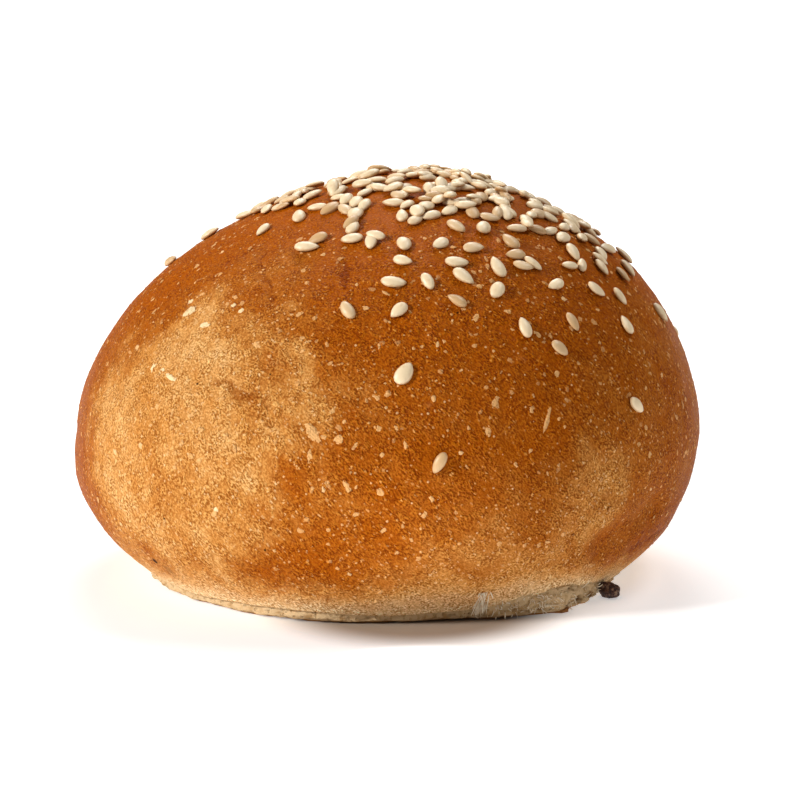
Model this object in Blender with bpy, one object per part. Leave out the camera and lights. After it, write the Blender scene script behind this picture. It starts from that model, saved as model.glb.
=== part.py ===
"""A whole, uncut hamburger bun: a tall baked dome on a flat sole, with a torn pale rim at its foot
and sesame seeds stuck to its crown. Metres, +Z up, the foot's middle at the origin, the front at -Y."""

import math
import random

import bmesh
import bpy
from mathutils import Euler, Matrix, Vector, noise

MM = 0.001

# The dome, by its overall sizes
BUN_WIDTH = 90.0 * MM
BUN_HEIGHT = 57.0 * MM
BELLY_HEIGHT = 20.5 * MM
FOOT_WIDTH = 71.4 * MM
CROWN_POWER = 1.83
UNDER_POWER = 2.25
CROWN_LEAN, UNDER_LEAN = 3.2 * MM, 0.8 * MM
LEAN_POWER = 1.5

# How much the foot's left and right draw in, as a share, and how fast that fades upwards and round
FOOT_NARROWING = 0.085
NARROWING_UP, NARROWING_ROUND = 4, 3

# How far the plan departs from a circle, as a share of its radius, and where each lobe points
OVAL_SHARE, OVAL_AZIMUTH = 0.006, math.radians(10)
LOBE_SHARE, LOBE_AZIMUTH = 0.007, math.radians(215)
SWELL_DEPTH, SWELL_LENGTH = 0.45 * MM, 17.0 * MM

# Creases and dents: azimuth and polar angle of each end in degrees, then half width and depth
CREASES = (
    ((-31, 99), (-44, 104), 2.8 * MM, 0.90 * MM),
    ((-49, 92), (-58, 112), 3.2 * MM, 0.50 * MM),
    ((-128, 92), (-112, 88), 4.0 * MM, 0.40 * MM),
)

# The torn rim between the crust's lower edge and the sole: its top is tucked in just under that edge
RIM_HEIGHT, RIM_RISE, RISE_LENGTH = 1.6 * MM, 0.7 * MM, 22.0 * MM
RIM_RECESS, RIM_TOP_SHARE = 0.45 * MM, 0.92
TORN_AZIMUTH, TORN_SPREAD = math.radians(-50), math.radians(16)
TORN_HEIGHT, TORN_BULGE, TORN_RAGGED = 1.3 * MM, 1.2 * MM, 0.7 * MM
RIM_RAGGED, RAGGED_LENGTH = 0.3 * MM, 3.2 * MM
ROW_SHIFT = 2.7

# The scorched crumb that sticks out of the foot, longer on the side where it is rooted
SCORCH_AZIMUTH = math.radians(-34.5)
SCORCH_SIZE = (2.8 * MM, 2.6 * MM, 2.2 * MM)
SCORCH_OUT, SCORCH_ROOT = 1.4 * MM, 1.8
SCORCH_ROUGH, SCORCH_GRAIN = 0.35, 5.0

# The mesh of the dome: every other meridian ends at each of the coarse rings
SEGMENTS = 64
CRUST_RINGS = 18
RIM_RINGS = 3
COARSE_RINGS = (8, 3)

# A sesame seed, and how it lies
SEED_LENGTH, SEED_WIDTH, SEED_THICKNESS = 3.25 * MM, 1.95 * MM, 1.0 * MM
SEED_TAPER = 0.3
FACET_GAIN = 1.12
SEED_SIZE_SPREAD = 0.12
SEED_PROUD = 0.2 * MM
SEED_TILT = math.radians(9)
STACK_REACH, STACK_LIFT = 1.75 * MM, 0.55 * MM
STACK_TILT = math.radians(14)

# The sprinkled patch on the crown, by its middle in plan and its reach, and the strays behind it
SPRINKLE_DRAW = 11
PATCH_SEEDS = 150
PATCH_MIDDLE = (5.5 * MM, -2.3 * MM)
PATCH_REACH, PATCH_FRINGE = 21.5 * MM, 7.5 * MM
LEAST_GAP, FRINGE_GAP = 1.25 * MM, 2.8 * MM
STRAY_SEEDS = 12
STRAY_FROM, STRAY_SPAN = math.radians(46), math.radians(34)

# Seeds that lie apart on the front and sides: azimuth, polar angle and turn in degrees
LONE_SEEDS = (
    (-150, 37, 290), (-122, 37, 225), (-123, 40, 20), (-112, 32, 90), (-102, 37, 280),
    (-102, 56, 125), (-92, 49, 0), (-90, 56, 225), (-90, 43, 335), (-88, 69, 55),
    (-83, 49, 290), (-81, 85, 240), (-78, 38, 220), (-76, 54, 145), (-74, 44, 355),
    (-73, 48, 310), (-67, 40, 355), (-65, 52, 230), (-62, 46, 95), (-61, 61, 90),
    (-54, 43, 170), (-54, 66, 315), (-50, 46, 300), (-48, 61, 275), (-47, 52, 190),
    (-39, 79, 320), (-37, 48, 165), (-34, 55, 305), (-32, 64, 70), (-30, 45, 245),
    (-27, 58, 285), (-11, 65, 260), (-9, 54, 235), (173, 55, 40),
)

# How finely positions on the crust are worked out
NORMAL_STEP = 0.02
LOWEST_POLAR, EDGE_PRECISION = math.radians(125), 1e-4
PLACING_ROUNDS = 12

HEART = Vector((0, 0, BELLY_HEIGHT))
BELLY_RADIUS = BUN_WIDTH / 2
FOOT_RADIUS = FOOT_WIDTH / 2
CROWN_RISE = BUN_HEIGHT - BELLY_HEIGHT
UNDER_DROP = BELLY_HEIGHT / (1 - (FOOT_RADIUS / BELLY_RADIUS) ** UNDER_POWER) ** (1 / UNDER_POWER)


def direction(azimuth, polar):
    return Vector((math.sin(polar) * math.cos(azimuth), math.sin(polar) * math.sin(azimuth), math.cos(polar)))


def dome_reach(way):
    """How far the plain dome lies from its heart this way: a superellipse above the belly, another below."""
    power, rise = (CROWN_POWER, CROWN_RISE) if way.z > 0 else (UNDER_POWER, UNDER_DROP)
    return ((way.xy.length / BELLY_RADIUS) ** power + (abs(way.z) / rise) ** power) ** (-1 / power)


def plain_point(way):
    """The dome's point this way from its heart, with the plan's lobes, the drawn-in foot and the lean."""
    azimuth = math.atan2(way.y, way.x)
    oval = OVAL_SHARE * math.cos(2 * (azimuth - OVAL_AZIMUTH))
    lobed = LOBE_SHARE * math.cos(3 * (azimuth - LOBE_AZIMUTH))
    point = HEART + dome_reach(way) * way
    above = max(0.0, (point.z - BELLY_HEIGHT) / CROWN_RISE)
    below = max(0.0, (BELLY_HEIGHT - point.z) / BELLY_HEIGHT)
    narrowed = FOOT_NARROWING * below**NARROWING_UP * abs(math.cos(azimuth)) ** NARROWING_ROUND
    wide = 1 + oval + lobed - narrowed
    lean = CROWN_LEAN * above**LEAN_POWER - UNDER_LEAN * math.sin(math.pi * min(1.0, below))
    return Vector((point.x * wide + lean, point.y * wide, point.z))


CREASE_LINES = [
    (*(plain_point(direction(*map(math.radians, place))) for place in ends), half_width, deep)
    for *ends, half_width, deep in CREASES
]


def distance_to_stretch(point, start, end):
    along = end - start
    share = (point - start).dot(along) / along.length_squared
    return (point - start - along * min(1.0, max(0.0, share))).length


def crust_point(way):
    """A point of the crust, with its soft swells, creases and dents."""
    point = plain_point(way)
    depth = -SWELL_DEPTH * noise.noise(point / SWELL_LENGTH)
    for start, end, half_width, deep in CREASE_LINES:
        depth += deep * math.exp(-((distance_to_stretch(point, start, end) / half_width) ** 2))
    return point - depth * way


def crust_frame(way):
    """The crust's point this way, its normal, and a level direction along it."""
    level = Vector((0, 0, 1)).cross(way).normalized() if way.xy.length > 1e-6 else Vector((0, 1, 0))
    rising = way.cross(level)
    steps = (level, -level, rising, -rising)
    beside = [crust_point((way + NORMAL_STEP * step).normalized()) for step in steps]
    normal = (beside[0] - beside[1]).cross(beside[2] - beside[3]).normalized()
    return crust_point(way), normal, level


def round_the_foot(azimuth, length, row=0):
    """A value from -1 to 1 that changes smoothly over this length round the foot."""
    place = FOOT_RADIUS / length * Vector((math.cos(azimuth), math.sin(azimuth), 0))
    return noise.noise(place + Vector((0, 0, ROW_SHIFT * row)))


def tornness(azimuth):
    """From 0 to 1, how badly the rim is torn at this azimuth."""
    apart = math.remainder(azimuth - TORN_AZIMUTH, 2 * math.pi)
    return math.exp(-((apart / TORN_SPREAD) ** 2))


def edge_height(azimuth):
    """Height of the crust's lower edge over the table."""
    return RIM_HEIGHT + RIM_RISE * round_the_foot(azimuth, RISE_LENGTH) + TORN_HEIGHT * tornness(azimuth)


def edge_polar(azimuth):
    """Polar angle at which the crust comes down to its lower edge."""
    low, high = math.pi / 2, LOWEST_POLAR
    while high - low > EDGE_PRECISION:
        middle = (low + high) / 2
        above = plain_point(direction(azimuth, middle)).z > edge_height(azimuth)
        low, high = (middle, high) if above else (low, middle)
    return low


def rim_point(azimuth, row):
    """A point of the torn rim: row 0 is tucked in under the crust, the last row stands on the table."""
    share = row / (RIM_RINGS - 1)
    edge = crust_point(direction(azimuth, edge_polar(azimuth)))
    torn = tornness(azimuth)
    ragged = (RIM_RAGGED + TORN_RAGGED * torn) * round_the_foot(azimuth, RAGGED_LENGTH, row + 1)
    reach = edge.xy.length - RIM_RECESS + TORN_BULGE * torn + ragged
    height = RIM_TOP_SHARE * edge.z * (1 - share)
    return Vector((reach * math.cos(azimuth), reach * math.sin(azimuth), height))


def surface_point(azimuth, ring):
    if ring <= CRUST_RINGS:
        return crust_point(direction(azimuth, edge_polar(azimuth) * ring / CRUST_RINGS))
    return rim_point(azimuth, ring - CRUST_RINGS - 1)


def linked(name, shape, collection):
    """A new object in the collection, from a bmesh that is then freed."""
    mesh = bpy.data.meshes.new(name)
    shape.to_mesh(mesh)
    shape.free()
    made = bpy.data.objects.new(name, mesh)
    collection.objects.link(made)
    return made


def on_ball(vertex, rings):
    """The ring and the meridian on which a vertex of the ball lies, as whole numbers."""
    ring = round(rings * math.acos(max(-1.0, min(1.0, vertex.co.z))) / math.pi)
    return ring, round(SEGMENTS * math.atan2(vertex.co.y, vertex.co.x) / (2 * math.pi))


def end_meridians(ball, rings, step, last_ring):
    """Takes out the meridians between every step-th one above this ring, where they crowd together."""
    ended = []
    for edge in ball.edges:
        (upper, _), (lower, meridian) = sorted(on_ball(vertex, rings) for vertex in edge.verts)
        if upper < lower <= last_ring and meridian % step:
            ended.append(edge)
    bmesh.ops.dissolve_edges(ball, edges=ended, use_verts=True)


def bake_dome():
    """The dome from a sphere whose rings are moved, one after another, down the crust and the torn rim."""
    ball = bmesh.new()
    rings = CRUST_RINGS + RIM_RINGS + 1
    bmesh.ops.create_uvsphere(ball, u_segments=SEGMENTS, v_segments=rings, radius=1)
    for level, last_ring in enumerate(COARSE_RINGS, 1):
        end_meridians(ball, rings, 2**level, last_ring)
    for vertex in ball.verts:
        ring, meridian = on_ball(vertex, rings)
        azimuth = 2 * math.pi * meridian / SEGMENTS
        vertex.co = surface_point(azimuth, ring) if ring < rings else Vector((0, 0, 0))
    bmesh.ops.triangulate(ball, faces=ball.faces)
    return linked("bun", ball, bpy.context.scene.collection)


def seed_shape():
    """One seed along X, blunt at -X and pointed at +X, a little full because its few facets cut it short."""
    ball = bmesh.new()
    bmesh.ops.create_icosphere(ball, subdivisions=1, radius=0.5)
    bmesh.ops.rotate(ball, verts=ball.verts, matrix=Matrix.Rotation(math.pi / 2, 3, "Y"))
    for vertex in ball.verts:
        x, y, z = vertex.co
        girth = FACET_GAIN * (1 - SEED_TAPER * 2 * x)
        vertex.co = (x * SEED_LENGTH, y * SEED_WIDTH * girth, z * SEED_THICKNESS * girth)
    return ball


def scorched_crumb():
    """A rough lump of burnt crumb that leans on the foot and touches the table."""
    lump = bmesh.new()
    bmesh.ops.create_icosphere(lump, subdivisions=2, radius=0.5)
    edge = rim_point(SCORCH_AZIMUTH, 0)
    middle = direction(SCORCH_AZIMUTH, math.pi / 2) * (edge.xy.length + SCORCH_OUT)
    turned = Matrix.Rotation(SCORCH_AZIMUTH, 3, "Z")
    for vertex in lump.verts:
        rough = 1 + SCORCH_ROUGH * noise.noise(SCORCH_GRAIN * vertex.co)
        drawn_out = SCORCH_ROOT if vertex.co.x < 0 else 1.0
        away = turned @ (rough * vertex.co * Vector(SCORCH_SIZE) * Vector((drawn_out, 1, 1)))
        vertex.co = middle + away + Vector((0, 0, max(SCORCH_SIZE[2] / 2, -away.z)))
    return lump


def way_over(place):
    """The direction from the heart to the crust's point over this place in plan."""
    way = Vector((*place, CROWN_RISE)).normalized()
    for _ in range(PLACING_ROUNDS):
        point = crust_point(way)
        missed = Vector(place) - point.xy
        way = (point - HEART + Vector((*missed, 0))).normalized()
    return way


def sprinkled(draw, taken):
    """Places in plan over the crown, clear of those taken: close in the patch, thinner over its fringe."""
    places = []
    while len(places) < PATCH_SEEDS:
        bearing, share = draw.uniform(0, 2 * math.pi), math.sqrt(draw.random())
        reach = share * (PATCH_REACH + PATCH_FRINGE)
        place = Vector(PATCH_MIDDLE) + reach * Vector((math.cos(bearing), math.sin(bearing)))
        beyond = max(0.0, (reach - PATCH_REACH) / PATCH_FRINGE)
        gap = LEAST_GAP + (FRINGE_GAP - LEAST_GAP) * beyond
        clear = all((place - other).length > gap for other in taken + places)
        if draw.random() < (1 - beyond) ** 2 and clear:
            places.append(place)
    return places


def strayed(draw):
    """A way to somewhere behind the patch, more often close to it."""
    return direction(draw.uniform(0, math.pi), STRAY_FROM + STRAY_SPAN * draw.random() ** 2)


def seat(way, turn, lift, tilt, size):
    """The matrix that lays a seed on the crust."""
    point, normal, level = crust_frame(way)
    axes = Matrix((level, normal.cross(level), normal)).transposed().to_4x4()
    lying = Euler((*tilt, turn)).to_matrix().to_4x4()
    return Matrix.Translation(point + normal * lift) @ axes @ lying @ Matrix.Scale(size, 4)


def seeds_on_crust():
    """Where every seed lies: the lone ones, the patch and the strays. A seed laid over another is lifted."""
    draw = random.Random(SPRINKLE_DRAW)
    lone = [(direction(*map(math.radians, place)), math.radians(turn)) for *place, turn in LONE_SEEDS]
    taken = [crust_point(way).xy for way, _ in lone]
    patch = [(way_over(place), draw.uniform(0, 2 * math.pi)) for place in sprinkled(draw, taken)]
    strays = [(strayed(draw), draw.uniform(0, 2 * math.pi)) for _ in range(STRAY_SEEDS)]
    laid, seats = [], []
    for way, turn in lone + patch + strays:
        point = crust_point(way)
        stacked = any((point - other).length < STACK_REACH for other in laid)
        lift, lean = (STACK_LIFT, STACK_TILT) if stacked else (SEED_PROUD, SEED_TILT)
        tilt = (draw.uniform(-lean, lean), draw.uniform(-lean, lean))
        size = 1 + draw.uniform(-SEED_SIZE_SPREAD, SEED_SIZE_SPREAD)
        seats.append(seat(way, turn, lift, tilt, size))
        laid.append(point)
    return seats


def fuse(body, toppings):
    """Joins everything in the collection to the body, then removes the collection with its objects."""
    union = body.modifiers.new("toppings", "BOOLEAN")
    union.operation = "UNION"
    union.operand_type = "COLLECTION"
    union.collection = toppings
    union.solver = "MANIFOLD"
    bpy.context.view_layer.objects.active = body
    bpy.ops.object.modifier_apply(modifier=union.name)
    for helper in list(toppings.objects):
        bpy.data.objects.remove(helper)
    bpy.data.collections.remove(toppings)


def shell_of(face, unseen):
    """Every face that edges join to this one, taken out of the unseen."""
    shell, fresh = [], [face]
    while fresh:
        shell.append(fresh.pop())
        beside = {other for edge in shell[-1].edges for other in edge.link_faces} & unseen
        unseen -= beside
        fresh += beside
    return shell


def keep_largest_shell(mesh):
    """Fills the hollows that the union sealed and drops loose scraps."""
    body = bmesh.new()
    body.from_mesh(mesh)
    unseen, shells = set(body.faces), []
    while unseen:
        shells.append(shell_of(unseen.pop(), unseen))
    shells.sort(key=len)
    bmesh.ops.delete(body, geom=[face for shell in shells[:-1] for face in shell], context="FACES")
    body.to_mesh(mesh)
    body.free()


def crust_material():
    material = bpy.data.materials.new("baked_crust")
    material.use_nodes = True
    shader = material.node_tree.nodes["Principled BSDF"]
    shader.inputs["Base Color"].default_value = (0.45, 0.19, 0.05, 1)
    shader.inputs["Roughness"].default_value = 0.45
    shader.inputs["Metallic"].default_value = 0.0
    return material


def main():
    for leftover in list(bpy.data.objects):
        bpy.data.objects.remove(leftover)
    bun = bake_dome()
    toppings = bpy.data.collections.new("toppings")
    bpy.context.scene.collection.children.link(toppings)
    linked("scorched_crumb", scorched_crumb(), toppings)
    for number, matrix in enumerate(seeds_on_crust()):
        linked(f"seed_{number}", seed_shape(), toppings).matrix_world = matrix
    bpy.context.view_layer.update()
    fuse(bun, toppings)
    keep_largest_shell(bun.data)
    bun.data.materials.append(crust_material())
    bun.data.shade_smooth()
    bun.data.set_sharp_from_angle(angle=math.radians(40))


main()
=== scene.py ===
"""The looks of a whole hamburger bun: its baked crust, sesame seeds, torn rim of crumb, sole and one
scorched crumb, on a pale floor. Metres, +Z up, the foot's middle at the origin, the front at -Y."""

import math
import random
from functools import lru_cache
from itertools import product

import bpy
import numpy as np
from mathutils import Euler, Matrix, Vector, noise


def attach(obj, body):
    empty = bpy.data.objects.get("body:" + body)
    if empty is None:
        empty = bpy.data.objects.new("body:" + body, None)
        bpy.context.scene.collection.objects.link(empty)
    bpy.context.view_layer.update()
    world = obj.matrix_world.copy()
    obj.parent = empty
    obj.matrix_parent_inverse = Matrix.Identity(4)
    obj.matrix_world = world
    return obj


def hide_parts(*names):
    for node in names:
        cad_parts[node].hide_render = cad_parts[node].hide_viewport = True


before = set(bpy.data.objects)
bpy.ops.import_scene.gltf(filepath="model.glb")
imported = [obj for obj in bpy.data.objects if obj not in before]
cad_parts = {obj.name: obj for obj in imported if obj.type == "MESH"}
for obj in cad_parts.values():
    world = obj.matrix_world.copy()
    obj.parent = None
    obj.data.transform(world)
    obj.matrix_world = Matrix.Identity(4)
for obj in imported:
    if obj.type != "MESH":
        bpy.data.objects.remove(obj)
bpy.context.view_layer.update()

MM = 0.001

# The dome, by its overall sizes, as the solid has it
BUN_WIDTH = 90.0 * MM
BUN_HEIGHT = 57.0 * MM
BELLY_HEIGHT = 20.5 * MM
FOOT_WIDTH = 71.4 * MM
CROWN_POWER = 1.83
UNDER_POWER = 2.25
CROWN_LEAN, UNDER_LEAN = 3.2 * MM, 0.8 * MM
LEAN_POWER = 1.5

# How much the foot's left and right draw in, as a share, and how fast that fades upwards and round
FOOT_NARROWING = 0.085
NARROWING_UP, NARROWING_ROUND = 4, 3

# How far the plan departs from a circle, as a share of its radius, and where each lobe points
OVAL_SHARE, OVAL_AZIMUTH = 0.006, math.radians(10)
LOBE_SHARE, LOBE_AZIMUTH = 0.007, math.radians(215)
SWELL_DEPTH, SWELL_LENGTH = 0.45 * MM, 17.0 * MM

# Creases and dents: azimuth and polar angle of each end in degrees, then half width and depth
CREASES = (
    ((-31, 99), (-44, 104), 2.8 * MM, 0.90 * MM),
    ((-49, 92), (-58, 112), 3.2 * MM, 0.50 * MM),
    ((-128, 92), (-112, 88), 4.0 * MM, 0.40 * MM),
)

# The torn rim between the crust's lower edge and the sole: its top is tucked in just under that edge
RIM_HEIGHT, RIM_RISE, RISE_LENGTH = 1.6 * MM, 0.7 * MM, 22.0 * MM
RIM_RECESS, RIM_TOP_SHARE = 0.45 * MM, 0.92
TORN_AZIMUTH, TORN_SPREAD = math.radians(-50), math.radians(16)
TORN_HEIGHT, TORN_BULGE, TORN_RAGGED = 1.3 * MM, 1.2 * MM, 0.7 * MM
RIM_RAGGED, RAGGED_LENGTH = 0.3 * MM, 3.2 * MM
ROW_SHIFT = 2.7

# The scorched crumb that sticks out of the foot, longer on the side where it is rooted
SCORCH_AZIMUTH = math.radians(-34.5)
SCORCH_SIZE = (2.8 * MM, 2.6 * MM, 2.2 * MM)
SCORCH_OUT, SCORCH_ROOT = 1.4 * MM, 1.8

# A sesame seed, and how it lies
SEED_LENGTH, SEED_WIDTH, SEED_THICKNESS = 3.25 * MM, 1.95 * MM, 1.0 * MM
SEED_SIZE_SPREAD = 0.12
SEED_PROUD = 0.2 * MM
SEED_TILT = math.radians(9)
STACK_REACH, STACK_LIFT = 1.75 * MM, 0.55 * MM
STACK_TILT = math.radians(14)

# The sprinkled patch on the crown, by its middle in plan and its reach, and the strays behind it
SPRINKLE_DRAW = 11
PATCH_SEEDS = 150
PATCH_MIDDLE = (5.5 * MM, -2.3 * MM)
PATCH_REACH, PATCH_FRINGE = 21.5 * MM, 7.5 * MM
LEAST_GAP, FRINGE_GAP = 1.25 * MM, 2.8 * MM
STRAY_SEEDS = 12
STRAY_FROM, STRAY_SPAN = math.radians(46), math.radians(34)

# Seeds that lie apart on the front and sides: azimuth, polar angle and turn in degrees
LONE_SEEDS = (
    (-150, 37, 290), (-122, 37, 225), (-123, 40, 20), (-112, 32, 90), (-102, 37, 280),
    (-102, 56, 125), (-92, 49, 0), (-90, 56, 225), (-90, 43, 335), (-88, 69, 55),
    (-83, 49, 290), (-81, 85, 240), (-78, 38, 220), (-76, 54, 145), (-74, 44, 355),
    (-73, 48, 310), (-67, 40, 355), (-65, 52, 230), (-62, 46, 95), (-61, 61, 90),
    (-54, 43, 170), (-54, 66, 315), (-50, 46, 300), (-48, 61, 275), (-47, 52, 190),
    (-39, 79, 320), (-37, 48, 165), (-34, 55, 305), (-32, 64, 70), (-30, 45, 245),
    (-27, 58, 285), (-11, 65, 260), (-9, 54, 235), (173, 55, 40),
)

# How finely positions on the crust are worked out
NORMAL_STEP = 0.02
LOWEST_POLAR, EDGE_PRECISION = math.radians(125), 1e-4
PLACING_ROUNDS = 12
EDGE_STEPS = 1440

# The crust's mesh: squares along each side of its ball, and how much of the ball is crust, then lip
CRUST_SQUARES = 127
CRUST_SHARE, LIP_SHARE = 0.83, 0.88
LIP_RADIUS, LIP_TURN = 0.45 * MM, math.radians(150)

# The crust's relief finer than its swells: size and height of each kind
RELIEF = ((6.0 * MM, 0.16 * MM), (2.4 * MM, 0.06 * MM), (1.1 * MM, 0.035 * MM))

# Pale blisters and flakes of skin: azimuth, polar angle, turn in degrees, length, width, rise in mm
FLAKES = (
    (-143, 60, 40, 2.9, 1.6, 0.12), (-135, 62, 10, 1.7, 0.9, 0.08), (-131, 57, 100, 1.1, 0.9, 0.08),
    (-128, 58, 80, 1.2, 0.8, 0.08), (-137, 73, 160, 2.8, 1.1, 0.12), (-143, 72, 80, 1.7, 0.8, 0.08),
    (-140, 72, 30, 1.1, 0.8, 0.08), (-146, 58, 80, 1.2, 0.8, 0.08), (-121, 95, 80, 1.2, 0.7, 0.07),
    (-104, 80, 140, 3.0, 1.6, 0.10), (-99, 81, 110, 1.7, 1.2, 0.08), (-96, 82, 60, 1.2, 0.8, 0.06),
    (-101, 76, 60, 0.9, 0.8, 0.08), (-92, 79, 20, 0.9, 0.8, 0.08), (-97, 89, 120, 2.2, 0.9, 0.10),
    (-91, 90, 120, 1.5, 0.9, 0.08), (-87, 82, 100, 1.1, 0.7, 0.08), (-72, 80, 95, 1.4, 0.9, 0.08),
    (-70, 75, 80, 1.8, 1.1, 0.08), (-60, 79, 60, 3.6, 0.9, 0.10), (-95, 94, 20, 1.0, 0.8, 0.07),
    (-72, 58, 50, 1.8, 0.9, 0.10), (-104, 84, 110, 2.0, 1.0, 0.07), (-90, 97, 40, 1.2, 0.8, 0.07),
    (-83, 94, 60, 1.2, 0.8, 0.07), (-64, 84, 60, 0.8, 0.6, 0.07), (-67, 86, 0, 0.7, 0.5, 0.06),
)
FLOURED_SIDE = -120
BLISTER_DRAW, SMALL_BLISTERS = 5, 2400
BLISTER_POLAR = (math.radians(34), math.radians(113))
BLISTER_LEAST, BLISTER_MORE, BLISTER_RISE, BLISTER_PALENESS = 0.42, 0.8, (0.05, 0.11), (0.3, 0.9)
BLISTER_SIDES, BLISTER_RINGS = 8, 6
BLISTER_UNEVEN, BLISTER_SUNK = 0.9, 0.35
BURNT_SPECK, BURNT_SMEAR = (-141, 109), (-138, 110.5)

# Strands of stretched skin that run down to the torn rim
STRANDS = ((-49, 92), (-58, 112))
STRANDS_REACH, STRAND_GAP, STRAND_RUN, STRAND_RISE = 6.0 * MM, 0.6 * MM, 7.0 * MM, 0.30 * MM

# The pale skin along the crust's lower edge fades upwards, slower where the rim is torn
EDGE_FADE, TORN_FADE = 1.5 * MM, 1.9 * MM

# Furrows in the crust, sunk in its relief and darkened with painted shade: azimuth and polar angle of each end in
# degrees, then half width
FURROWS = (
    ((-129, 71), (-121, 73), 0.9 * MM), ((-121, 73), (-114, 77), 1.0 * MM), ((-114, 77), (-109, 82), 0.9 * MM),
    ((-33, 107), (-18, 106), 0.7 * MM), ((-97, 62), (-92, 66), 0.4 * MM), ((-144, 40), (-131, 47), 0.8 * MM),
    ((-131, 47), (-121, 55), 0.9 * MM), ((-108, 43), (-102, 53), 0.8 * MM), ((-146, 47), (-142, 42), 0.7 * MM),
)
FURROW_DEPTH, FURROW_WAVER, WAVER_LENGTH = 0.18 * MM, 1.6 * MM, 2.6 * MM

# The torn rim of crumb and the sole
RIM_ROUND, RIM_ACROSS = ((1400, 56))
RIM_DEPTH, RIM_TUCK, RIM_SQUARENESS = 3.0 * MM, 0.8 * MM, 0.45
FLUFF = ((1.6 * MM, 0.35 * MM), (0.7 * MM, 0.28 * MM), (0.35 * MM, 0.18 * MM))
PORE_LENGTH, PORE_SIZE, PORE_DEPTH = 0.8 * MM, 0.5, 0.9 * MM
CALM_SHARE = 0.75
RIM_CLEAR, RIM_UNEVEN, RIM_UNDERCUT, UNDERCUT_HEIGHT = 0.22 * MM, 0.15 * MM, 0.5 * MM, 0.5 * MM
HOLES = ((math.radians(-40), 0.9 * MM, 0.85 * MM, 1.9 * MM), (math.radians(-45.5), 1.3 * MM, 0.5 * MM, 1.2 * MM))
SOLE_SQUARES, SOLE_THICKNESS = 56, 0.5 * MM
SOLE_TOP, SOLE_BOTTOM = math.radians(83), math.radians(97)
SOLE_OUT, SOLE_RAGGED, SOLE_RAGGED_LENGTH = -1.2 * MM, 0.5 * MM, 1.3 * MM
SOLE_RELIEF, SOLE_RELIEF_LENGTH = 0.25 * MM, 2.2 * MM
SOLE_TIP, TIP_SPREAD, TIP_OUT = math.radians(-50), math.radians(1.6), 1.5 * MM

# Torn fibres of crumb
FIBRE_SIDES, FIBRE_RINGS = 5, 8
FIBRE_DRAW, FIBRES = 3, 260
FIBRE_LENGTH, FIBRE_WIDTH = (0.3, 1.1), (0.08, 0.22)
TUFT_AZIMUTH, TUFT_SPREAD, TUFT_FIBRES, TUFT_FRAYS = math.radians(-69.5), 0.009, 22, 10
TUFT_HEIGHT = 5.8 * MM

# The camera, as the photograph was taken
CAMERA_RISE, CAMERA_DISTANCE = math.radians(11.6), 600 * MM
AIM = Vector((1.74 * MM, 0, 24.1 * MM))
FRAME_WIDTH, SENSOR = 116.2 * MM, 36.0

# Lights: azimuth, rise over the level, distance, size, watts, colour
LIGHTS = (
    ("key", -152, 26, 1.2, 0.22, 13.2, (1.0, 0.99, 0.97)),
    ("behind", 90, 45, 1.4, 0.6, 9.0, (1.0, 1.0, 1.0)),
    ("right", 25, 58, 1.2, 0.4, 4.8, (1.0, 1.0, 0.99)),
)
SURROUND, SEEN_SURROUND = 0.15, 1.0
FLOOR_SIZE = 6.0
# The floor's colour near the front of the foot is a painted shadow, where its glow is also left out; the glowing patch
# further in front is painted light that lights the bun's lower front
FLOOR_WHITE, CONTACT_SHADE, FLOOR_GLOW = (0.86, 0.85, 0.84), (0.40, 0.32, 0.25), 0.42
CONTACT_MIDDLE, CONTACT_REACH = (4, -28, 0), (13, 24)
FRONT_MIDDLE, FRONT_REACH, FRONT_GLOW = (6, -66, 0), (20, 10), 2.4

HEART = Vector((0, 0, BELLY_HEIGHT))
BELLY_RADIUS = BUN_WIDTH / 2
FOOT_RADIUS = FOOT_WIDTH / 2
CROWN_RISE = BUN_HEIGHT - BELLY_HEIGHT
UNDER_DROP = BELLY_HEIGHT / (1 - (FOOT_RADIUS / BELLY_RADIUS) ** UNDER_POWER) ** (1 / UNDER_POWER)


# The dome's shape, as the solid has it

def direction(azimuth, polar):
    return Vector((math.sin(polar) * math.cos(azimuth), math.sin(polar) * math.sin(azimuth), math.cos(polar)))


def aimed(azimuth_degrees, polar_degrees):
    return direction(math.radians(azimuth_degrees), math.radians(polar_degrees))


def dome_reach(way):
    """How far the plain dome lies from its heart this way: a superellipse above the belly, another below."""
    power, rise = (CROWN_POWER, CROWN_RISE) if way.z > 0 else (UNDER_POWER, UNDER_DROP)
    return ((way.xy.length / BELLY_RADIUS) ** power + (abs(way.z) / rise) ** power) ** (-1 / power)


def plain_point(way):
    """The dome's point this way from its heart, with the plan's lobes, the drawn-in foot and the lean."""
    azimuth = math.atan2(way.y, way.x)
    oval = OVAL_SHARE * math.cos(2 * (azimuth - OVAL_AZIMUTH))
    lobed = LOBE_SHARE * math.cos(3 * (azimuth - LOBE_AZIMUTH))
    point = HEART + dome_reach(way) * way
    above = max(0.0, (point.z - BELLY_HEIGHT) / CROWN_RISE)
    below = max(0.0, (BELLY_HEIGHT - point.z) / BELLY_HEIGHT)
    narrowed = FOOT_NARROWING * below**NARROWING_UP * abs(math.cos(azimuth)) ** NARROWING_ROUND
    wide = 1 + oval + lobed - narrowed
    lean = CROWN_LEAN * above**LEAN_POWER - UNDER_LEAN * math.sin(math.pi * min(1.0, below))
    return Vector((point.x * wide + lean, point.y * wide, point.z))


CREASE_LINES = [
    (*(plain_point(aimed(*place)) for place in ends), half_width, deep)
    for *ends, half_width, deep in CREASES
]


def distance_to_stretch(point, start, end):
    along = end - start
    share = (point - start).dot(along) / along.length_squared
    return (point - start - along * min(1.0, max(0.0, share))).length


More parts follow.
